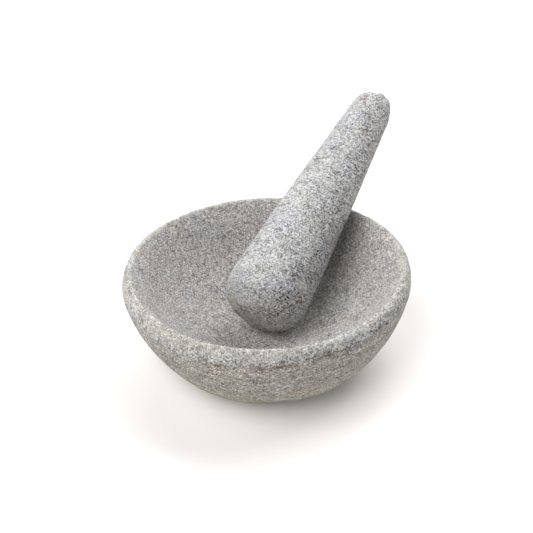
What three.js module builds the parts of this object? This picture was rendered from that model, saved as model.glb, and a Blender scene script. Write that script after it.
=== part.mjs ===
// A stone grinding set in two loose pieces: a low, thick, hand-cut stone bowl (molcajete)
// and the tapered stone pestle (tejolote) that leans in it.
//
// Millimetres, +Z up. The origin is the middle of the bowl's flat foot, on the surface that
// the bowl stands on.
import * as THREE from 'three';

// ---- Bowl: the section from its middle to its rim, before the hand-cut unevenness ----
const BOWL_RADIUS = 80; // at the widest ring, just under the lip
const BOWL_HEIGHT = 57; // to the crest of the lip
const WIDEST_HEIGHT = 48.5; // height of the widest ring
const FOOT_RADIUS = 48; // edge of the flat foot
const WALL_SWEEP = 1.44; // exponent of the outer wall's curve: 1 would be a plain ellipse
const LIP_OUTER_WIDTH = 5; // from the crest of the lip out to the widest ring
const FLOOR_THICKNESS = 12; // stone under the lowest point of the hollow
const HOLLOW_SPREAD = 0.71; // exponent of the hollow's curve inwards from the crest of the lip
const HOLLOW_SINK = 2.35; // exponent of its curve downwards: both at 1 would be a plain ellipse

// ---- Unevenness of the hand-cut bowl, at its full size at the rim and nothing at the foot ----
const ROUNDNESS_WAVES = [
  { lobes: 2, depth: 1.8, turn: THREE.MathUtils.degToRad(88) },
  { lobes: 3, depth: 0.85, turn: THREE.MathUtils.degToRad(106) },
];
const RIM_TILT_RISE = 0.6; // how much higher the rim is at its high side
const RIM_TILT_TURN = THREE.MathUtils.degToRad(22); // direction of the high side

// ---- Pestle: a round tapered bar with a full, domed grinding end and a narrow top ----
const PESTLE_LENGTH = 161;
const PESTLE_END_RADIUS = 24; // at the shoulder of the grinding end
const PESTLE_TIP_RADIUS = 11.2; // what the taper would reach at the very top
const PESTLE_TAPER = 1.16; // exponent of the taper: 1 would be a straight cone
const END_DOME_LENGTH = 19;
const TIP_DOME_LENGTH = 17.5;
const DOME_FULLNESS = 0.59; // exponent of both domes: 1 would be a plain ellipse
const PESTLE_OVALITY = 0.35; // its end radius is this much more one way and less the other

// ---- Pestle at rest: its end in the hollow, its shaft on the rim ----
const PESTLE_END_POINT = new THREE.Vector3(-8.3, -9.8, 27.2); // the pole of the grinding end
const PESTLE_LEAN = THREE.MathUtils.degToRad(59.85); // from upright
const PESTLE_HEADING = THREE.MathUtils.degToRad(57.2); // the way it leans, from +X to +Y

// ---- Fineness of the solids ----
const BOWL_SIDES = 72;
const WALL_STEPS = 12;
const LIP_STEPS = 4;
const HOLLOW_STEPS = 18;
const PESTLE_SIDES = 40;
const DOME_STEPS = 8;
const SHAFT_STEPS = 10;

const QUARTER_TURN = Math.PI / 2;

// Adds a run of section points, from the one after the start to the end of a quarter turn.
function addQuarterTurn(points, steps, pointAt) {
  for (let step = 1; step <= steps; step++) {
    points.push(pointAt((step / steps) * QUARTER_TURN));
  }
}

// Puts a section's last point exactly on the axis, where rounding leaves it a hair away.
function closeOnAxis(points) {
  points.at(-1).x = 0;
  return points;
}

// The bowl's section: foot, outer wall, lip and hollow, from the axis round to the axis.
function bowlSection() {
  const crestRadius = BOWL_RADIUS - LIP_OUTER_WIDTH;
  const hollowDepth = BOWL_HEIGHT - FLOOR_THICKNESS;
  const lipRise = BOWL_HEIGHT - WIDEST_HEIGHT;
  const points = [new THREE.Vector2(0, 0), new THREE.Vector2(FOOT_RADIUS, 0)];
  addQuarterTurn(points, WALL_STEPS, (turn) => new THREE.Vector2(
    FOOT_RADIUS + (BOWL_RADIUS - FOOT_RADIUS) * Math.sin(turn) ** WALL_SWEEP,
    WIDEST_HEIGHT * (1 - Math.cos(turn) ** WALL_SWEEP),
  ));
  addQuarterTurn(points, LIP_STEPS, (turn) => new THREE.Vector2(
    crestRadius + LIP_OUTER_WIDTH * Math.cos(turn),
    WIDEST_HEIGHT + lipRise * Math.sin(turn),
  ));
  addQuarterTurn(points, HOLLOW_STEPS, (turn) => new THREE.Vector2(
    crestRadius * Math.cos(turn) ** HOLLOW_SPREAD,
    BOWL_HEIGHT - hollowDepth * Math.sin(turn) ** HOLLOW_SINK,
  ));
  return closeOnAxis(points);
}

// A solid of revolution about Z from a section of radius and height.
function turnedSolid(section, sides) {
  const geometry = new THREE.LatheGeometry(section, sides);
  geometry.rotateX(QUARTER_TURN);
  return geometry;
}

// Moves the bowl's wall a little out of round and tilts its rim, leaving the foot flat and true.
function cutByHand(geometry) {
  const position = geometry.getAttribute('position');
  const point = new THREE.Vector3();
  for (let i = 0; i < position.count; i++) {
    point.fromBufferAttribute(position, i);
    const radius = Math.hypot(point.x, point.y);
    const angle = Math.atan2(point.y, point.x);
    const share = (point.z / BOWL_HEIGHT) * (radius / BOWL_RADIUS);
    let growth = 0;
    for (const wave of ROUNDNESS_WAVES) {
      growth += wave.depth * Math.cos(wave.lobes * angle - wave.turn);
    }
    const scale = radius > 0 ? 1 + (growth * share) / radius : 1;
    const rise = RIM_TILT_RISE * Math.cos(angle - RIM_TILT_TURN) * share;
    position.setXYZ(i, point.x * scale, point.y * scale, point.z + rise);
  }
  return geometry;
}

// The pestle's radius at a distance along it from the pole of its grinding end.
function shaftRadius(along) {
  const share = (along - END_DOME_LENGTH) / (PESTLE_LENGTH - END_DOME_LENGTH);
  return PESTLE_END_RADIUS - (PESTLE_END_RADIUS - PESTLE_TIP_RADIUS) * share ** PESTLE_TAPER;
}

// The pestle's section, from the pole of its grinding end to the pole of its top.
function pestleSection() {
  const tipStart = PESTLE_LENGTH - TIP_DOME_LENGTH;
  const tipRadius = shaftRadius(tipStart);
  const points = [new THREE.Vector2(0, 0)];
  addQuarterTurn(points, DOME_STEPS, (turn) => new THREE.Vector2(
    PESTLE_END_RADIUS * Math.sin(turn) ** DOME_FULLNESS,
    END_DOME_LENGTH * (1 - Math.cos(turn)),
  ));
  for (let step = 1; step <= SHAFT_STEPS; step++) {
    const along = THREE.MathUtils.lerp(END_DOME_LENGTH, tipStart, step / SHAFT_STEPS);
    points.push(new THREE.Vector2(shaftRadius(along), along));
  }
  addQuarterTurn(points, DOME_STEPS, (turn) => new THREE.Vector2(
    tipRadius * Math.cos(turn) ** DOME_FULLNESS,
    tipStart + TIP_DOME_LENGTH * Math.sin(turn),
  ));
  return closeOnAxis(points);
}

function makeBowl() {
  const stone = new THREE.MeshStandardMaterial({ color: 0xa8a39c, roughness: 0.92, metalness: 0 });
  const bowl = new THREE.Mesh(cutByHand(turnedSolid(bowlSection(), BOWL_SIDES)), stone);
  bowl.name = 'mortar_bowl';
  return bowl;
}

function makePestle() {
  const stone = new THREE.MeshStandardMaterial({ color: 0xb9bbbd, roughness: 0.9, metalness: 0 });
  const solid = turnedSolid(pestleSection(), PESTLE_SIDES);
  const ovality = PESTLE_OVALITY / PESTLE_END_RADIUS;
  solid.scale(1 + ovality, 1 - ovality, 1);
  const pestle = new THREE.Mesh(solid, stone);
  pestle.name = 'pestle';
  pestle.position.copy(PESTLE_END_POINT);
  pestle.rotation.set(0, PESTLE_LEAN, PESTLE_HEADING, 'ZYX');
  return pestle;
}

const molcajete = new THREE.Group();
molcajete.add(makeBowl());
molcajete.add(makePestle());

export default molcajete;
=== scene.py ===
"""Looks of a hand-cut stone molcajete: a low thick bowl with a loose tapered pestle in it.

Everything is in metres, +Z up, with the origin in the middle of the bowl's flat foot.
"""
import math

import bpy
import numpy as np
from mathutils import Matrix, Vector, kdtree


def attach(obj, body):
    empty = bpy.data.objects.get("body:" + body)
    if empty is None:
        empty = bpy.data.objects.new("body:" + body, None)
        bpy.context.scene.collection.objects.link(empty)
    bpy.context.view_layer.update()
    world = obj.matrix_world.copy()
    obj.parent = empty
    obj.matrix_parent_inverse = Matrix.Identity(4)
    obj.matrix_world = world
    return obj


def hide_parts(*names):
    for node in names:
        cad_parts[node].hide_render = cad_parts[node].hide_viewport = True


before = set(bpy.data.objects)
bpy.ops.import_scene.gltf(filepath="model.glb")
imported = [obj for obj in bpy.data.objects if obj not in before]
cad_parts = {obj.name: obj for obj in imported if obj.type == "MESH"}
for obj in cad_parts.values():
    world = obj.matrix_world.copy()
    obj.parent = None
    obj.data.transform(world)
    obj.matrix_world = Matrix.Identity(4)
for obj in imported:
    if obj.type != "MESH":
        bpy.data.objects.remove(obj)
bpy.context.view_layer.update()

# ---- Bowl section, the same driving dimensions as the CAD part ----
BOWL_RADIUS = 0.080
BOWL_HEIGHT = 0.057
WIDEST_HEIGHT = 0.0485
FOOT_RADIUS = 0.048
WALL_SWEEP = 1.44
LIP_OUTER_WIDTH = 0.005
FLOOR_THICKNESS = 0.012
HOLLOW_SPREAD = 0.71
HOLLOW_SINK = 2.35
ROUNDNESS_WAVES = ((2, 0.0018, math.radians(88)), (3, 0.00085, math.radians(106)))
RIM_TILT_RISE = 0.0006
RIM_TILT_TURN = math.radians(22)

# ---- Pestle section and resting place, the same as the CAD part ----
PESTLE_LENGTH = 0.161
PESTLE_END_RADIUS = 0.024
PESTLE_TIP_RADIUS = 0.0112
PESTLE_TAPER = 1.16
END_DOME_LENGTH = 0.019
TIP_DOME_LENGTH = 0.0175
DOME_FULLNESS = 0.59
PESTLE_OVALITY = 0.00035
PESTLE_END_POINT = Vector((-0.0083, -0.0098, 0.0272))
PESTLE_LEAN = math.radians(59.85)
PESTLE_HEADING = math.radians(57.2)

# ---- Fineness of the visible meshes ----
BOWL_SIDES = 540
FOOT_ROWS = 8
WALL_ROWS = 58
LIP_ROWS = 17
HOLLOW_ROWS = 91
PESTLE_SIDES = 300
PESTLE_ROWS = 310

# ---- Unevenness of the stone: (height, breadth) of each size of lump ----
NOISE_LATTICE = 32
BOWL_LUMPS = ((0.00030, 0.030), (0.00012, 0.011))
PESTLE_LUMPS = ((0.00022, 0.030), (0.00014, 0.011))
OPEN_GRAIN_HEIGHT = 0.00007
BOWL_GRAIN_BREADTH = 0.0040
PESTLE_GRAIN_BREADTH = 0.0036
TURNING_HEIGHT = 0.00016
TURNING_BREADTH = 0.0030
TURNING_STRETCH = 0.16

# ---- Pits and chips: how many, their smallest and largest radius, their steepest depth ----
SHALLOWEST = 0.10
BOWL_PITS = (1100, 0.0008, 0.0018, 0.26)
LIP_CHIPS = (520, 0.0008, 0.0021, 0.26)
PESTLE_PITS = (900, 0.0006, 0.0015, 0.28)
FULL_PIT_DEPTH = 0.0004

# ---- Lip: its inner band with painted top light, and the coarse brow from its crest to the chisel line ----
LIP_BREADTH = 0.010
LIP_START_BELOW_LINE = 0.0010
LIP_FULL_ABOVE_LINE = 0.0018
BROW_HEIGHT = 0.0070
COARSE_LIP_HEIGHT = 0.00011
COARSE_LIP_RISE = 0.00004
COARSE_LIP_BREADTH = 0.0050

# ---- The broken line left by the chisel under the lip. Turns are in degrees round the bowl. ----
GROOVE_HEIGHT = 0.0475
GROOVE_RISE = 0.0030
GROOVE_RISE_TURN = -40
GROOVE_RUNS = ((-96, -80), (-72, -56), (-111, -104), (-8, 14), (38, 71), (96, 109), (142, 178))
GROOVE_HALF_WIDTH = 0.0016
GROOVE_DEPTH = 0.0007
GROOVE_END = 4
GROOVE_WAVER = ((0.0005, 0.026), (0.0003, 0.009))

# ---- Foot of the bowl: true and smooth underneath, and painted bounce light from the floor low on the wall ----
ROUGH_ABOVE = 0.0012
BOUNCE_LIGHT_TOP = 0.034
BOUNCE_LIGHT_FULL = 0.010

# ---- Rust spots on the bowl: height in metres and degrees round it ----
BOWL_RUST_SPOTS = ((0.0456, -59), (0.0410, -118), (0.0330, 24), (0.0395, 131))
RUST_SPOT_RADIUS = 0.0017
RUST_CORE_RADIUS = 0.0004

# ---- Marks on the pestle: metres along it from the pole of its end, and degrees round it ----
CHISEL_NICKS = (
    ((0.027, 134), (0.031, 150)),
    ((0.049, 132), (0.051, 153)),
    ((0.064, 138), (0.066, 163)),
    ((0.081, 146), (0.083, 168)),
    ((0.095, 139), (0.097, 168)),
    ((0.100, 155), (0.103, 178)),
    ((0.109, 172), (0.114, 188)),
    ((0.122, 150), (0.125, 176)),
)
MARK_WAVER = 0.0006
MARK_WAVER_BREADTH = 0.003
NICK_WIDTH = 0.0007
NICK_DEPTH = 0.0005
SCAR = (
    ((0.0016, 110), (0.0009, 101)),
    ((0.0009, 101), (0.0006, 92)),
    ((0.0006, 92), (0.0004, 66)),
)
SCAR_WIDTH = 0.0010
SCAR_DEPTH = 0.0013
CRACKS = (
    ((0.0027, 121), (0.0020, 128)),
    ((0.0013, 150), (0.0011, 168)),
    ((0.0012, 172), (0.0012, 198)),
    ((0.0005, 150), (0.0005, 185)),
)
CRACK_WIDTH = 0.0006
CRACK_DEPTH = 0.0004
FACET = (0.0042, 123)
FACET_RADIUS = 0.0055
FACET_RISE = 0.0009
# A bump's third number is how far the stone stands out there, or is broken away.
TIP_BUMPS = (
    (0.1560, 149, -0.0012),
    (0.1588, 180, -0.0009),
    (0.1588, -148, 0.0010),
    (0.1565, -112, 0.0010),
)
TIP_BUMP_RADIUS = 0.0045
BROKEN_TIP_LENGTH = 0.014
FULLY_BROKEN_LENGTH = 0.003
TIP_ROUGHNESS = 0.0004
TIP_LUMP_BREADTH = 0.0040
TIP_WEAR = 0.0001
WORN_END_LENGTH = 0.014
FULLY_WORN_LENGTH = 0.002
# The pestle's side that faces the lamps: it gets painted light, and fewer dark flakes.
PALE_LIT_SIDE_TURN = math.radians(145)
PESTLE_RUST_SPOTS = (
    (0.0115, -159),
    (0.0250, -130),
    (0.0177, -104),
    (0.0197, -109),
    (0.0146, -132),
    (0.0300, 141),
    (0.1240, -117),
    (0.1310, -139),
    (0.1390, -148),
    (0.1500, 175),
)

# ---- Crystals of the stone. A stop is the share of the crystals below it, and its own colour. ----
GRAIN_SIZE = 0.00036
FLAKE_SIZE = 0.00068
LIP_GRAIN_SIZE = 0.00080
SPECK_SIZE = 0.0012
RUST_SPECK_START = 0.995
BOWL_RUST_LIMIT = 0.999
PESTLE_RUST_LIMIT = 0.998
RUST_STRENGTH = 0.75
BOWL_GREYS = ((0.06, 0.06), (0.22, 0.205), (0.50, 0.345), (0.80, 0.49), (0.95, 0.78))
PESTLE_GREYS = ((0.11, 0.01), (0.26, 0.16), (0.36, 0.445), (0.75, 0.56), (0.95, 0.76))
LIP_COLOURS = (
    (0.00, (0.03, 0.025, 0.02)),
    (0.14, (0.08, 0.075, 0.07)),
    (0.22, (0.30, 0.34, 0.38)),
    (0.42, (0.42, 0.43, 0.42)),
    (0.62, (0.49, 0.49, 0.47)),
    (0.78, (0.56, 0.52, 0.42)),
    (0.90, (0.62, 0.62, 0.60)),
    (1.00, (0.80, 0.80, 0.78)),
)

# ---- Flakes: the part that is dark, and how strongly the dark and the white ones show ----
BOWL_FLAKES = (0.16, 0.6, 0.35)
PESTLE_FLAKES = (0.24, 1.0, 0.25)

# ---- Colours, and tints that multiply the colour under them ----
DARK_FLAKE = (0.04, 0.038, 0.036)
WHITE_FLAKE = (0.80, 0.80, 0.79)
BROW_FLAKE = (0.05, 0.045, 0.04)
WORN_FLAKE = (0.17, 0.16, 0.15)
RUST_COLOUR = (0.15, 0.06, 0.045)
# The chisel groove's dark brown: brown grains, and painted shade in the groove.
GROOVE_SHADE_AND_STAIN = (0.11, 0.07, 0.045)
# Painted light on the pestle's side that faces the lamps.
LIT_SIDE_PAINTED_LIGHT = (0.50, 0.505, 0.495)
LIT_SIDE_PAINTED_LIGHT_SHARE = 0.14
BOWL_TINT = (1.0, 0.955, 0.915)
PESTLE_TINT = (1.0, 1.0, 1.0)
OUTSIDE_TINT = (0.935, 0.948, 0.925)
# Painted bounce light from the floor: the outer wall is made paler low down.
LOW_WALL_BOUNCE_LIGHT = (1.22, 1.205, 1.13)
# Painted top light: the lip's crest and inner band are made paler as if lit from above.
CREST_PAINTED_LIGHT = (1.13, 1.125, 1.115)
# Painted shade on the lip's brow under its crest.
BROW_PAINTED_SHADE = (0.96, 0.97, 0.99)
WORN_TINT = (0.975, 0.94, 0.91)

# ---- Dry surface of the stone ----
DRY_PATCH_SIZE = 0.003
SMOOTHEST = 0.82
DRIEST = 0.97
SPECULAR_LEVEL = 0.25
FINE_BUMP_SIZE = 0.0005
BUMP_HEIGHT = 0.00022

# ---- Stains: their size, the noise at which they begin and are full, their tint and strength ----
BOWL_STAINS = (
    (0.022, 0.50, 0.66, (0.92, 0.97, 1.05), 0.6),
    (0.013, 0.52, 0.68, (1.0, 0.93, 0.90), 0.6),
)
WALL_STREAKS = (
    (0.0034, 0.46, 0.60, (0.84, 0.84, 0.85), 0.9),
    (0.0040, 0.50, 0.36, (1.14, 1.12, 1.06), 0.9),
    (0.0010, 0.42, 0.62, (0.66, 0.65, 0.62), 0.8),
    (0.0009, 0.48, 0.35, (1.30, 1.29, 1.24), 0.8),
)
HOLLOW_STREAKS = ((0.0010, 0.44, 0.62, (0.86, 0.86, 0.86), 0.5),)
PESTLE_STAINS = (
    (0.016, 0.50, 0.64, (0.955, 0.96, 1.045), 0.9),
    (0.0125, 0.53, 0.66, (1.0, 1.01, 0.93), 0.9),
)
PESTLE_STREAKS = ((0.0011, 0.46, 0.68, (0.62, 0.62, 0.61), 0.6),)
WALL_STRETCH = (0.2, 0.2, 1.0)
PESTLE_STRETCH = (0.25, 0.25, 1.0)

# ---- Painted shade in pits, nicks, cracks and the scar, and the facet's own tone: the mask, how much, the colour ----
BOWL_PIT_SHADE = ("pit", 0.55, (0.42, 0.39, 0.36))
# Pits, nicks, cracks and the scar get painted shade; the facet gets its own greener tone.
PESTLE_SHADE_AND_FACET_TONE = (
    ("pit", 0.55, (0.42, 0.40, 0.39)),
    ("nick", 0.8, (0.45, 0.46, 0.42)),
    ("facet", 0.8, (0.74, 0.78, 0.72)),
    ("scar", 1.2, (0.08, 0.075, 0.065)),
)
HAIRLINE_STRENGTH = 0.8
HAIRLINE_SHADE = (0.30, 0.29, 0.27)

# ---- Camera ----
CAMERA_TARGET = Vector((-0.0005, 0.0, 0.0566))
CAMERA_DISTANCE = 0.6628
CAMERA_ELEVATION = math.radians(33.19)
CAMERA_FIELD = math.radians(25.04)

# ---- Studio. A light's heading is in degrees from +X to +Y, and its power in watts. ----
FLOOR_GAP = 0.00005
FLOOR_REACH = 25.0
FLOOR_COLOUR = (0.785, 0.762, 0.747)
FLOOR_GLOW_COLOUR = (1.0, 0.98, 0.96)
FLOOR_GLOW = 0.11
LIGHTS = (("front_left", 225, 103), ("left", 180, 50), ("back", 90, 67), ("back_right", 45, 104))
LIGHT_TARGET = Vector((0, 0, 0.03))
LIGHT_DISTANCE = 3.6
LIGHT_ELEVATION = math.radians(50)
LIGHT_SIZE = 2.6
WALL_BRIGHTNESS = 0.45
WALL_TOP = 0.87


# ---------------------------------------------------------------- seeded numbers

def lumps(points, size, seed):
    """Smooth seeded noise from -1 to 1 at each point, with lumps about size metres across."""
    lattice = np.random.default_rng(seed).uniform(-1, 1, (NOISE_LATTICE,) * 3)
    place = points / size
    low = np.floor(place).astype(int)
    part = place - low
    part = part * part * part * (part * (part * 6 - 15) + 10)
    total = np.zeros(len(points))
    for corner in np.ndindex(2, 2, 2):
        step = np.array(corner)
        share = np.prod(np.where(step, part, 1 - part), axis=1)
        x, y, z = ((low + step) % NOISE_LATTICE).T
        total += share * lattice[x, y, z]
    return total


def rough(points, size, seed, octaves=3):
    """Noise in several octaves, each half the size and half the strength of the one before."""
    total = np.zeros(len(points))
    for octave in range(octaves):
        total += lumps(points, size / 2 ** octave, seed + octave) / 2 ** octave
    return total


def layers(points, heights_and_sizes, seed):
    """Lumps of several sizes added up, each with its own height."""
    total = np.zeros(len(points))
    for step, (height, size) in enumerate(heights_and_sizes):
        total += height * lumps(points, size, seed + step)
    return total


def smooth_step(value, low, high):
    """0 below low, 1 above high, and a smooth ramp between them. low may be above high."""
    part = np.clip((value - low) / (high - low), 0, 1)
    return part * part * (3 - 2 * part)


def dents(points, centres, radii, depths):
    """The depth of rounded dents at each point, from a list of their centres, radii and depths."""
    tree = kdtree.KDTree(len(points))
    for index, point in enumerate(points):
        tree.insert(point, index)
    tree.balance()
    sunk = np.zeros(len(points))
    for centre, radius, depth in zip(centres, radii, depths):
        for _place, index, distance in tree.find_range(Vector(centre), float(radius)):
            sunk[index] = max(sunk[index], depth * (1 - (distance / radius) ** 2) ** 1.5)
    return sunk


def pitting(points, chosen, pits, rng):
    """The depth at each point of rounded pits of random sizes, with their middles at chosen points."""
    smallest, largest, steepest = pits[1:]
    radii = rng.uniform(smallest, largest, len(chosen))
    depths = radii * rng.uniform(SHALLOWEST, steepest, len(chosen))
    return dents(points, points[chosen], radii, depths)


def from_line(points, start, end):
    """Each point's distance from the straight line between two places."""
    run = end - start
    share = np.clip((points - start) @ run / (run @ run), 0, 1)
    return np.linalg.norm(points - start - share[:, None] * run, axis=1)


def spots(points, centres):
    """1 at each centre, fading to 0 within a grain or two of it."""
    shares = np.zeros(len(points))
    for centre in centres:
        away = np.linalg.norm(points - centre, axis=1)
        shares = np.maximum(shares, smooth_step(away, RUST_SPOT_RADIUS, RUST_CORE_RADIUS))
    return shares


# ---------------------------------------------------------------- meshes

def evenly(points, count):
    """A section line resampled at equal steps along its length."""
    points = np.array(points)
    along = np.concatenate([[0], np.cumsum(np.linalg.norm(np.diff(points, axis=0), axis=1))])
    places = np.linspace(0, along[-1], count)
    return np.stack([np.interp(places, along, points[:, axis]) for axis in (0, 1)], axis=1)


def turned_mesh(name, section, sides):
    """A closed mesh of revolution about Z. The section's first and last points are on the axis."""
    turns = np.arange(sides) / sides * math.tau
    rings = section[1:-1]
    radii = rings[:, 0][:, None]
    ring_points = np.stack([
        radii * np.cos(turns),
        radii * np.sin(turns),
        np.broadcast_to(rings[:, 1][:, None], (len(rings), sides)),
    ], axis=-1).reshape(-1, 3)
    poles = np.array([[0, 0, section[0, 1]], [0, 0, section[-1, 1]]])
    points = np.concatenate([ring_points, poles])
    first_pole = len(ring_points)
    last_ring = (len(rings) - 1) * sides
    faces = []
    for side in range(sides):
        after = (side + 1) % sides
        faces.append((first_pole, after, side))
        for start in range(0, last_ring, sides):
            faces.append((start + side, start + after, start + sides + after, start + sides + side))
        faces.append((first_pole + 1, last_ring + side, last_ring + after))
    mesh = bpy.data.meshes.new(name)
    mesh.from_pydata(points.tolist(), [], faces)
    mesh.update()
    return mesh


def get_points(mesh):
    points = np.zeros(len(mesh.vertices) * 3)
    mesh.vertices.foreach_get("co", points)
    return points.reshape(-1, 3)


def set_points(mesh, points):
    mesh.vertices.foreach_set("co", points.ravel())
    mesh.update()


def get_normals(mesh):
    normals = np.zeros(len(mesh.vertices) * 3, np.float32)
    mesh.vertex_normals.foreach_get("vector", normals)
    return normals.reshape(-1, 3).astype(float)


def set_mask(mesh, name, values):
    """Stores a number for each vertex, which the materials read by name."""
    layer = mesh.attributes.new(name, "FLOAT", "POINT")
    layer.data.foreach_set("value", np.clip(values, 0, 1).astype(np.float32))


def shown(name, mesh, material):
    """Puts a finished mesh in the scene with smooth faces and its material."""
    mesh.polygons.foreach_set("use_smooth", [True] * len(mesh.polygons))
    mesh.materials.append(material)
    piece = bpy.data.objects.new(name, mesh)
    bpy.context.scene.collection.objects.link(piece)
    return piece


# ---------------------------------------------------------------- bowl

def bowl_section():
    """Foot, outer wall, lip and hollow, from the axis round to the axis, and how far in each is.

    The second value is 0 on the outside and rises to 1 over the first stretch of the hollow.
    """
    crest = BOWL_RADIUS - LIP_OUTER_WIDTH
    turn = np.linspace(0, math.pi / 2, 400)
    sine, cosine = np.sin(turn), np.clip(np.cos(turn), 0, 1)
    wall = np.stack([
        FOOT_RADIUS + (BOWL_RADIUS - FOOT_RADIUS) * sine ** WALL_SWEEP,
        WIDEST_HEIGHT * (1 - cosine ** WALL_SWEEP),
    ], axis=1)
    lip_outside = np.stack([
        crest + LIP_OUTER_WIDTH * cosine,
        WIDEST_HEIGHT + (BOWL_HEIGHT - WIDEST_HEIGHT) * sine,
    ], axis=1)
    hollow = np.stack([
        crest * cosine ** HOLLOW_SPREAD,
        BOWL_HEIGHT - (BOWL_HEIGHT - FLOOR_THICKNESS) * sine ** HOLLOW_SINK,
    ], axis=1)
    outside = [
        evenly([(0, 0), (FOOT_RADIUS, 0)], FOOT_ROWS + 1)[:-1],
        evenly(wall, WALL_ROWS + 1)[:-1],
        evenly(lip_outside, LIP_ROWS + 1)[:-1],
    ]
    inside = evenly(hollow, HOLLOW_ROWS + 1)
    section = np.concatenate(outside + [inside])
    section[-1, 0] = 0
    inward = np.zeros(len(section))
    inward[-len(inside):] = np.clip((crest - inside[:, 0]) / LIP_BREADTH, 0, 1)
    return section, inward


def cut_by_hand(points):
    """Moves the bowl a little out of round and tilts its rim, as on the CAD part."""
    radius = np.hypot(points[:, 0], points[:, 1])
    angle = np.arctan2(points[:, 1], points[:, 0])
    share = points[:, 2] / BOWL_HEIGHT * radius / BOWL_RADIUS
    growth = sum(depth * np.cos(lobes * angle - turn) for lobes, depth, turn in ROUNDNESS_WAVES)
    scale = 1 + growth * share / np.maximum(radius, 1e-6)
    rise = RIM_TILT_RISE * np.cos(angle - RIM_TILT_TURN) * share
    return np.stack([points[:, 0] * scale, points[:, 1] * scale, points[:, 2] + rise], axis=1)


def on_each_point(ring_values, sides):
    """Spreads a number for each section point over the points of a turned mesh."""
    return np.concatenate([np.repeat(ring_values[1:-1], sides), ring_values[[0, -1]]])


def on_wall(height, degrees):
    """A place on the bowl's plain outer wall."""
    turn = math.radians(degrees)
    cosine = (1 - height / WIDEST_HEIGHT) ** (1 / WALL_SWEEP)
    radius = FOOT_RADIUS + (BOWL_RADIUS - FOOT_RADIUS) * (1 - cosine ** 2) ** (WALL_SWEEP / 2)
    return np.array([radius * math.cos(turn), radius * math.sin(turn), height])


def groove_line(points):
    """The height of the line under the lip at each point, and how much of it was cut there."""
    angle = np.arctan2(points[:, 1], points[:, 0])
    toward = np.clip(np.cos(angle - math.radians(GROOVE_RISE_TURN)), 0, 1)
    waver = layers(points, GROOVE_WAVER, 42)
    line = GROOVE_HEIGHT + GROOVE_RISE * toward ** 2 + waver
    degrees = np.degrees(angle)
    cut = np.zeros(len(points))
    for start, end in GROOVE_RUNS:
        begun = smooth_step(degrees, start - GROOVE_END + 1, start + GROOVE_END)
        ended = smooth_step(degrees, end + GROOVE_END - 1, end - GROOVE_END)
        cut = np.maximum(cut, begun * ended)
    return line, cut * smooth_step(rough(points, 0.005, 41), -1.2, 0.0)


def make_bowl(material):
    """The bowl is turned, moved as on the CAD part, and then roughened along its normals."""
    section, ring_inward = bowl_section()
    mesh = turned_mesh("bowl_surface", section, BOWL_SIDES)
    plain = get_points(mesh)
    height = plain[:, 2]
    inward = on_each_point(ring_inward, BOWL_SIDES)
    set_points(mesh, cut_by_hand(plain))
    points = get_points(mesh)
    normals = get_normals(mesh)
    rng = np.random.default_rng(11)

    outside = 1 - smooth_step(inward, 0.0, 0.3)
    line, cut = groove_line(points)
    above_line = smooth_step(height, line - LIP_START_BELOW_LINE, line + LIP_FULL_ABOVE_LINE)
    lip = above_line * smooth_step(inward, 0.45, 0.12)

    hand = layers(points, BOWL_LUMPS, 21)
    open_grain = OPEN_GRAIN_HEIGHT * rough(points, BOWL_GRAIN_BREADTH, 23)
    # brow: the lip's outer face under its crest, with dark flakes and painted shade.
    brow = lip * smooth_step(height, line + BROW_HEIGHT, line)
    # crest: where painted top light makes the lip's inner band paler.
    crest = above_line * smooth_step(inward, 1.0, 0.25) * (1 - brow)
    coarse_lip = lip * (COARSE_LIP_HEIGHT * rough(points, COARSE_LIP_BREADTH, 27) + COARSE_LIP_RISE)
    stretched = points * np.array([TURNING_STRETCH, TURNING_STRETCH, 1.0])
    turning = outside * (1 - lip) * TURNING_HEIGHT * rough(stretched, TURNING_BREADTH, 31)
    groove = outside * cut * smooth_step(np.abs(height - line), GROOVE_HALF_WIDTH, 0)

    pits = pitting(points, rng.integers(0, len(points), BOWL_PITS[0]), BOWL_PITS, rng)
    chips = pitting(points, rng.choice(np.flatnonzero(lip > 0.5), LIP_CHIPS[0]), LIP_CHIPS, rng)

    offset = hand + open_grain + coarse_lip + turning - GROOVE_DEPTH * groove - pits - chips
    off_the_foot = smooth_step(height, 0, ROUGH_ABOVE)
    moved = points + normals * (offset * off_the_foot)[:, None]
    moved[:, 2] = np.maximum(moved[:, 2], 0)
    set_points(mesh, moved)

    # groove mask: the chisel line, darkened by brown grains and painted shade.
    set_mask(mesh, "groove", groove)
    # pit mask: painted shade darkens the pits and chips.
    set_mask(mesh, "pit", (pits + chips) / FULL_PIT_DEPTH)
    set_mask(mesh, "lip", lip)
    # brow mask: dark flakes and painted shade.
    set_mask(mesh, "brow", brow)
    # crest mask: painted top light on the lip.
    set_mask(mesh, "crest", crest)
    set_mask(mesh, "outside", outside)
    # The low mask is where painted bounce light from the floor makes the outer wall paler.
    set_mask(mesh, "low", outside * smooth_step(height, BOUNCE_LIGHT_TOP, BOUNCE_LIGHT_FULL))
    set_mask(mesh, "rust", spots(points, [on_wall(*spot) for spot in BOWL_RUST_SPOTS]))
    return shown("bowl", mesh, material)


# ---------------------------------------------------------------- pestle

def shaft_radius(along):
    """The pestle's radius at a distance along it from the pole of its grinding end."""
    share = (along - END_DOME_LENGTH) / (PESTLE_LENGTH - END_DOME_LENGTH)
    return PESTLE_END_RADIUS - (PESTLE_END_RADIUS - PESTLE_TIP_RADIUS) * share ** PESTLE_TAPER


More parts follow.
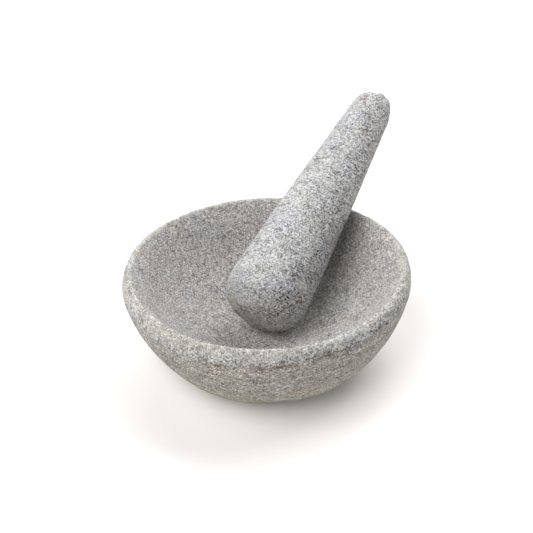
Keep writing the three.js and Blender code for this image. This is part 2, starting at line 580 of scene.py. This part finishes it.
def pestle_section():
    """From the pole of the grinding end to the pole of the top."""
    turn = np.linspace(0, math.pi / 2, 160)
    sine, cosine = np.sin(turn), np.clip(np.cos(turn), 0, 1)
    tip_start = PESTLE_LENGTH - TIP_DOME_LENGTH
    end_dome = np.stack([
        PESTLE_END_RADIUS * sine ** DOME_FULLNESS,
        END_DOME_LENGTH * (1 - cosine),
    ], axis=1)
    along = np.linspace(END_DOME_LENGTH, tip_start, 60)
    shaft = np.stack([shaft_radius(along), along], axis=1)
    tip_dome = np.stack([
        shaft_radius(tip_start) * cosine ** DOME_FULLNESS,
        tip_start + TIP_DOME_LENGTH * sine,
    ], axis=1)
    section = evenly(np.concatenate([end_dome, shaft, tip_dome]), PESTLE_ROWS)
    section[0, 0] = 0
    section[-1, 0] = 0
    return section


def on_shaft(along, degrees):
    """A place on the pestle's plain surface, with Z along it."""
    turn = math.radians(degrees)
    tip_start = PESTLE_LENGTH - TIP_DOME_LENGTH
    radius = shaft_radius(min(max(along, END_DOME_LENGTH), tip_start))
    if along < END_DOME_LENGTH:
        radius *= (1 - (1 - along / END_DOME_LENGTH) ** 2) ** (DOME_FULLNESS / 2)
    if along > tip_start:
        radius *= (1 - ((along - tip_start) / TIP_DOME_LENGTH) ** 2) ** (DOME_FULLNESS / 2)
    return np.array([radius * math.cos(turn), radius * math.sin(turn), along])


def raised(points, place, radius):
    """1 at a place on the pestle, sinking smoothly to 0 at a radius from it."""
    return smooth_step(np.linalg.norm(points - on_shaft(*place), axis=1), radius, 0)


def chisel_marks(points, runs, width):
    """How deep in one of a list of straight chisel marks each point is, from 0 to 1."""
    waver = [lumps(points, MARK_WAVER_BREADTH, seed) for seed in (81, 82, 83)]
    wavy = points + MARK_WAVER * np.stack(waver, axis=1)
    marks = np.zeros(len(points))
    for start, end in runs:
        away = from_line(wavy, on_shaft(*start), on_shaft(*end))
        marks = np.maximum(marks, smooth_step(away, width * 1.6, width * 0.2))
    return marks


def make_pestle(material):
    """The pestle is shaped with Z along it, then laid in its resting place."""
    mesh = turned_mesh("pestle_surface", pestle_section(), PESTLE_SIDES)
    ovality = PESTLE_OVALITY / PESTLE_END_RADIUS
    set_points(mesh, get_points(mesh) * np.array([1 + ovality, 1 - ovality, 1]))
    points = get_points(mesh)
    normals = get_normals(mesh)
    rng = np.random.default_rng(12)
    along = points[:, 2]

    hand = layers(points, PESTLE_LUMPS, 61)
    open_grain = OPEN_GRAIN_HEIGHT * rough(points, PESTLE_GRAIN_BREADTH, 63)
    from_top = PESTLE_LENGTH - along
    broken_tip = smooth_step(from_top, BROKEN_TIP_LENGTH, FULLY_BROKEN_LENGTH)
    tip_lumps = broken_tip * (TIP_ROUGHNESS * rough(points, TIP_LUMP_BREADTH, 71) - TIP_WEAR)
    for place_along, degrees, rise in TIP_BUMPS:
        tip_lumps += rise * raised(points, (place_along, degrees), TIP_BUMP_RADIUS)
    facet = raised(points, FACET, FACET_RADIUS)

    nicks = chisel_marks(points, CHISEL_NICKS, NICK_WIDTH)
    scar = chisel_marks(points, SCAR, SCAR_WIDTH)
    cracks = chisel_marks(points, CRACKS, CRACK_WIDTH)

    pits = pitting(points, rng.integers(0, len(points), PESTLE_PITS[0]), PESTLE_PITS, rng)

    offset = hand + open_grain + tip_lumps + FACET_RISE * facet - pits
    offset -= NICK_DEPTH * nicks + SCAR_DEPTH * scar + CRACK_DEPTH * cracks
    points = points + normals * offset[:, None]
    set_points(mesh, points)
    # pit mask: painted shade darkens the pits.
    set_mask(mesh, "pit", pits / FULL_PIT_DEPTH)
    # nick mask: painted shade in the nicks and cracks.
    set_mask(mesh, "nick", np.maximum(nicks, cracks))
    # scar mask: painted shadow along the chip's broken edge.
    set_mask(mesh, "scar", scar)
    # pale mask: the side facing the lamps, with painted light and fewer dark flakes.
    set_mask(mesh, "pale", np.cos(np.arctan2(points[:, 1], points[:, 0]) - PALE_LIT_SIDE_TURN))
    set_mask(mesh, "facet", facet)
    set_mask(mesh, "worn", smooth_step(along, WORN_END_LENGTH, FULLY_WORN_LENGTH))
    set_mask(mesh, "rust", spots(points, [on_shaft(*spot) for spot in PESTLE_RUST_SPOTS]))
    lean = Matrix.Rotation(PESTLE_HEADING, 4, "Z") @ Matrix.Rotation(PESTLE_LEAN, 4, "Y")
    mesh.transform(Matrix.Translation(PESTLE_END_POINT) @ lean)
    return shown("pestle_stone", mesh, material)


# ---------------------------------------------------------------- materials

class Graph:
    """A short way to add and wire the nodes of one material."""

    def __init__(self, name):
        self.material = bpy.data.materials.new(name)
        self.material.use_nodes = True
        self.tree = self.material.node_tree
        self.shader = self.tree.nodes["Principled BSDF"]

    def add(self, kind, output=0, settings=None, **inputs):
        """Adds a node. Inputs are given by name with _ for a space, or as in0, in1 by place."""
        made = self.tree.nodes.new(kind)
        for key, value in (settings or {}).items():
            setattr(made, key, value)
        for key, value in inputs.items():
            by_place = key.startswith("in") and key[2:].isdigit()
            socket = made.inputs[int(key[2:]) if by_place else key.replace("_", " ")]
            self.set(socket, value)
        return made.outputs[output]

    def set(self, socket, value):
        if isinstance(value, bpy.types.NodeSocket):
            self.tree.links.new(value, socket)
        else:
            socket.default_value = value

    def place(self):
        return self.add("ShaderNodeTexCoord", "Object")

    def stretched(self, vector, factors):
        """The same places with each axis scaled, so that a pattern is drawn out where it is below 1."""
        return self.add("ShaderNodeVectorMath", settings={"operation": "MULTIPLY"},
                        in0=vector, in1=factors)

    def noise(self, vector, size, detail=2.0, roughness=0.5):
        return self.add("ShaderNodeTexNoise", "Fac", Vector=vector, Scale=1 / size,
                        Detail=detail, Roughness=roughness)

    def cells(self, vector, size):
        """A different random number for each crystal about size metres across."""
        colour = self.add("ShaderNodeTexVoronoi", "Color", Vector=vector, Scale=1 / size)
        return self.add("ShaderNodeSeparateColor", "Red", Color=colour)

    def maths(self, operation, first, second=0.0, clamp=False):
        settings = {"operation": operation, "use_clamp": clamp}
        return self.add("ShaderNodeMath", settings=settings, in0=first, in1=second)

    def range(self, value, low, high, new_low=0.0, new_high=1.0):
        settings = {"interpolation_type": "SMOOTHSTEP"}
        return self.add("ShaderNodeMapRange", settings=settings, in0=value, in1=low, in2=high,
                        in3=new_low, in4=new_high)

    def ramp(self, value, stops):
        made = self.tree.nodes.new("ShaderNodeValToRGB")
        self.set(made.inputs[0], value)
        elements = made.color_ramp.elements
        while len(elements) < len(stops):
            elements.new(0.5)
        for element, (place, colour) in zip(elements, stops):
            element.position = place
            element.color = (*colour, 1)
        return made.outputs[0]

    def mix(self, share, first, second, blend="MIX"):
        settings = {"data_type": "RGBA", "blend_type": blend}
        colours = [c if isinstance(c, bpy.types.NodeSocket) else (*c, 1) for c in (first, second)]
        return self.add("ShaderNodeMix", 2, settings, in0=share, in6=colours[0], in7=colours[1])

    def mask(self, name):
        return self.add("ShaderNodeAttribute", "Fac", {"attribute_name": name})


def grey_stops(levels, tint):
    """Colour ramp stops from (place, brightness) pairs, all with one tint."""
    return [(place, tuple(level * part for part in tint)) for place, level in levels]


def speckle(graph, place, greys, tint, flake_mix, pale=None):
    """Crystals of every grey, with larger dark flakes in drifts and scattered white ones.

    There are fewer dark flakes where pale is above 0.
    """
    dark_part, dark_share, white_share = flake_mix
    grain = graph.cells(place, GRAIN_SIZE)
    flake = graph.cells(place, FLAKE_SIZE)
    colour = graph.ramp(grain, grey_stops(greys, tint))
    drift = graph.range(graph.noise(place, 0.009, 3.0, 0.6), 0.40, 0.60, 0.25, 1.0)
    if pale is not None:
        drift = graph.maths("SUBTRACT", drift, graph.maths("MULTIPLY", pale, 0.4), True)
    flakes = graph.range(flake, 1 - dark_part, 1.03 - dark_part, 0.0, dark_share)
    dark = graph.maths("MULTIPLY", flakes, drift)
    colour = graph.mix(dark, colour, DARK_FLAKE)
    colour = graph.mix(graph.range(flake, 0.12, 0.09, 0.0, white_share), colour, WHITE_FLAKE)
    return colour, grain


def stained(graph, colour, place, stains, mask=None):
    """Soft-edged stains that multiply the colour by their tints, where the mask is if there is one."""
    for size, low, high, tint, strength in stains:
        share = graph.range(graph.noise(place, size, 3.0, 0.6), low, high, 0.0, strength)
        if mask is not None:
            share = graph.maths("MULTIPLY", share, mask)
        colour = graph.mix(share, colour, tint, "MULTIPLY")
    return colour


def hairlines(graph, colour, place):
    """Short thin dark strokes that wander along the wide directions of a stretched place."""
    cloud = graph.noise(place, 0.0030, 2.0, 0.6)
    beside = graph.maths("ABSOLUTE", graph.maths("SUBTRACT", cloud, 0.5))
    line = graph.range(beside, 0.022, 0.006)
    broken = graph.range(graph.noise(place, 0.0060, 2.0), 0.50, 0.58, 0.0, HAIRLINE_STRENGTH)
    return graph.mix(graph.maths("MULTIPLY", line, broken), colour, HAIRLINE_SHADE, "MULTIPLY")


def rust(graph, colour, place, full):
    """Rust-brown iron stains: the placed spots, and rare crystals scattered everywhere.

    A crystal is fully rusted where its random number is above full, just under 1.
    """
    specks = graph.range(graph.cells(place, SPECK_SIZE), RUST_SPECK_START, full)
    share = graph.maths("ADD", specks, graph.mask("rust"))
    return graph.mix(graph.maths("MULTIPLY", share, RUST_STRENGTH, True), colour, RUST_COLOUR)


def shade_and_tone(graph, colour, mask, strength, shade):
    """Painted shade where a mask marks a pit, a nick or a scar, and the facet's own greener tone where
    its mask is.
    """
    share = graph.maths("MULTIPLY", graph.mask(mask), strength, True)
    return graph.mix(share, colour, shade, "MULTIPLY")


def finish_stone(graph, colour, grain, place):
    """Wires the colour, a dry uneven roughness and grain-sized bumps to the shader."""
    graph.set(graph.shader.inputs["Base Color"], colour)
    dryness = graph.noise(place, DRY_PATCH_SIZE, 2.0)
    roughness = graph.range(dryness, 0.3, 0.7, SMOOTHEST, DRIEST)
    graph.set(graph.shader.inputs["Roughness"], roughness)
    graph.shader.inputs["Specular IOR Level"].default_value = SPECULAR_LEVEL
    fine = graph.noise(place, FINE_BUMP_SIZE, 1.0, 0.7)
    height = graph.maths("ADD", graph.maths("MULTIPLY", grain, 0.6), fine)
    bump = graph.add("ShaderNodeBump", Height=height, Strength=0.6, Distance=BUMP_HEIGHT)
    graph.set(graph.shader.inputs["Normal"], bump)
    return graph.material


def turning_streaks(graph, colour, place, outside):
    """Level streaks round the bowl: strong and of several sizes outside, faint in the hollow."""
    level = graph.stretched(place, WALL_STRETCH)
    wall = graph.maths("SUBTRACT", outside, graph.mask("lip"), True)
    inside = graph.maths("SUBTRACT", 1.0, outside, True)
    colour = stained(graph, colour, level, WALL_STREAKS, wall)
    return stained(graph, colour, level, HOLLOW_STREAKS, inside)


def coarse_lip_stone(graph, colour, place):
    """Larger crystals of more colours on the lip; painted top light on the crest, painted shade and
    dark flecks on the brow.
    """
    lip_colour = graph.ramp(graph.cells(place, LIP_GRAIN_SIZE), LIP_COLOURS)
    crest = graph.mask("crest")
    brow = graph.mask("brow")
    coarse = graph.maths("SUBTRACT", graph.mask("lip"), graph.maths("MULTIPLY", crest, 0.6), True)
    colour = graph.mix(graph.maths("MULTIPLY", coarse, 0.70), colour, lip_colour)
    # Painted top light on the crest.
    colour = graph.mix(crest, colour, CREST_PAINTED_LIGHT, "MULTIPLY")
    # Painted shade on the brow.
    colour = graph.mix(brow, colour, BROW_PAINTED_SHADE, "MULTIPLY")
    flakes = graph.range(graph.cells(place, FLAKE_SIZE), 0.70, 0.74, 0.0, 0.85)
    return graph.mix(graph.maths("MULTIPLY", flakes, brow), colour, BROW_FLAKE)


def chisel_line_shade_and_stain(graph, colour, place):
    """Dark brown in the broken line under the lip: brown grains, and painted shade in the groove."""
    brown = graph.range(graph.cells(place, LIP_GRAIN_SIZE), 0.25, 0.55, 0.15, 1.0)
    return graph.mix(graph.maths("MULTIPLY", graph.mask("groove"), brown), colour, GROOVE_SHADE_AND_STAIN)


def bowl_stone():
    """Warm grey stone, greener and streaked outside with painted bounce light low down, and a coarse
    lip with painted top light.
    """
    graph = Graph("bowl_stone")
    place = graph.place()
    colour, grain = speckle(graph, place, BOWL_GREYS, BOWL_TINT, BOWL_FLAKES)
    colour = stained(graph, colour, place, BOWL_STAINS)
    outside = graph.mask("outside")
    colour = graph.mix(outside, colour, OUTSIDE_TINT, "MULTIPLY")
    # Painted bounce light from the floor, paler low on the outer wall.
    colour = graph.mix(graph.mask("low"), colour, LOW_WALL_BOUNCE_LIGHT, "MULTIPLY")
    colour = turning_streaks(graph, colour, place, outside)
    colour = coarse_lip_stone(graph, colour, place)
    colour = rust(graph, colour, place, BOWL_RUST_LIMIT)
    # Painted shade in the pits and chips.
    colour = shade_and_tone(graph, colour, *BOWL_PIT_SHADE)
    colour = chisel_line_shade_and_stain(graph, colour, place)
    return finish_stone(graph, colour, grain, place)


def shaft_place(graph):
    """Places on the pestle, turned back so that Z runs along it."""
    settings = {"rotation_type": "EULER_XYZ", "invert": True}
    return graph.add("ShaderNodeVectorRotate", settings=settings,
                     Vector=graph.place(), Rotation=(0.0, PESTLE_LEAN, PESTLE_HEADING))


def worn_end_stone(graph, colour, place):
    """The warmer grinding end, with more of its flakes dark."""
    worn = graph.mask("worn")
    colour = graph.mix(worn, colour, WORN_TINT, "MULTIPLY")
    flakes = graph.range(graph.cells(place, FLAKE_SIZE), 0.40, 0.43, 0.35, 0.0)
    return graph.mix(graph.maths("MULTIPLY", flakes, worn), colour, WORN_FLAKE)


def pestle_stone():
    """Cool grey stone with many dark flakes, with painted light and fewer dark flakes on the side
    facing the lamps, and marked across its length.
    """
    graph = Graph("pestle_stone")
    place = graph.place()
    pale = graph.mask("pale")
    colour, grain = speckle(graph, place, PESTLE_GREYS, PESTLE_TINT, PESTLE_FLAKES, pale)
    # Painted light on the side facing the lamps.
    colour = graph.mix(graph.maths("MULTIPLY", pale, LIT_SIDE_PAINTED_LIGHT_SHARE), colour, LIT_SIDE_PAINTED_LIGHT)
    colour = stained(graph, colour, place, PESTLE_STAINS)
    across = graph.stretched(shaft_place(graph), PESTLE_STRETCH)
    colour = stained(graph, colour, across, PESTLE_STREAKS)
    colour = hairlines(graph, colour, across)
    colour = worn_end_stone(graph, colour, place)
    colour = rust(graph, colour, place, PESTLE_RUST_LIMIT)
    # Painted shade in pits, nicks, cracks and the scar, and the facet's own tone.
    for mark in PESTLE_SHADE_AND_FACET_TONE:
        colour = shade_and_tone(graph, colour, *mark)
    return finish_stone(graph, colour, grain, place)


# ---------------------------------------------------------------- stage, lights and camera

def pale_floor():
    """A matt white table, faintly lit from below so that shadows on it stay pale."""
    graph = Graph("pale_floor")
    inputs = graph.shader.inputs
    inputs["Base Color"].default_value = (*FLOOR_COLOUR, 1)
    inputs["Roughness"].default_value = 1.0
    inputs["Specular IOR Level"].default_value = 0.0
    inputs["Emission Color"].default_value = (*FLOOR_GLOW_COLOUR, 1)
    inputs["Emission Strength"].default_value = FLOOR_GLOW
    return graph.material


def make_floor():
    mesh = bpy.data.meshes.new("floor")
    corners = ((-1, -1), (1, -1), (1, 1), (-1, 1))
    points = [(x * FLOOR_REACH, y * FLOOR_REACH, -FLOOR_GAP) for x, y in corners]
    mesh.from_pydata(points, [], [(0, 1, 2, 3)])
    shown("floor", mesh, pale_floor())


def make_light(name, heading, power):
    """A square soft box that faces the object from far enough to light the floor evenly."""
    data = bpy.data.lights.new(name, "AREA")
    data.size = LIGHT_SIZE
    data.energy = power
    lamp = bpy.data.objects.new(name, data)
    bpy.context.scene.collection.objects.link(lamp)
    turn = math.radians(heading)
    level = math.cos(LIGHT_ELEVATION)
    out = Vector((math.cos(turn) * level, math.sin(turn) * level, math.sin(LIGHT_ELEVATION)))
    lamp.location = LIGHT_TARGET + out * LIGHT_DISTANCE
    lamp.rotation_euler = (-out).to_track_quat("-Z", "Y").to_euler()


def make_world():
    """White studio walls: brightest level with the object and dark overhead."""
    world = bpy.data.worlds.new("studio")
    bpy.context.scene.world = world
    world.use_nodes = True
    tree = world.node_tree
    direction = tree.nodes.new("ShaderNodeTexCoord")
    parts = tree.nodes.new("ShaderNodeSeparateXYZ")
    fade = tree.nodes.new("ShaderNodeMapRange")
    fade.inputs["From Min"].default_value = 0.0
    fade.inputs["From Max"].default_value = WALL_TOP
    fade.inputs["To Min"].default_value = WALL_BRIGHTNESS
    fade.inputs["To Max"].default_value = 0.0
    background = tree.nodes["Background"]
    background.inputs["Color"].default_value = (1.0, 1.0, 1.0, 1)
    tree.links.new(direction.outputs["Generated"], parts.inputs["Vector"])
    tree.links.new(parts.outputs["Z"], fade.inputs["Value"])
    tree.links.new(fade.outputs["Result"], background.inputs["Strength"])


def make_camera():
    data = bpy.data.cameras.new("camera")
    data.sensor_fit = "HORIZONTAL"
    data.angle = CAMERA_FIELD
    camera = bpy.data.objects.new("camera", data)
    bpy.context.scene.collection.objects.link(camera)
    back = Vector((0, -math.cos(CAMERA_ELEVATION), math.sin(CAMERA_ELEVATION)))
    camera.location = CAMERA_TARGET + back * CAMERA_DISTANCE
    camera.rotation_euler = (-back).to_track_quat("-Z", "Y").to_euler()
    bpy.context.scene.camera = camera


make_camera()
make_floor()
make_world()
for light in LIGHTS:
    make_light(*light)
bpy.context.scene.view_settings.view_transform = "Standard"

bowl = make_bowl(bowl_stone())
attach(bowl, "mortar")
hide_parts("mortar_bowl")

pestle = make_pestle(pestle_stone())
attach(pestle, "pestle")
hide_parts("pestle")
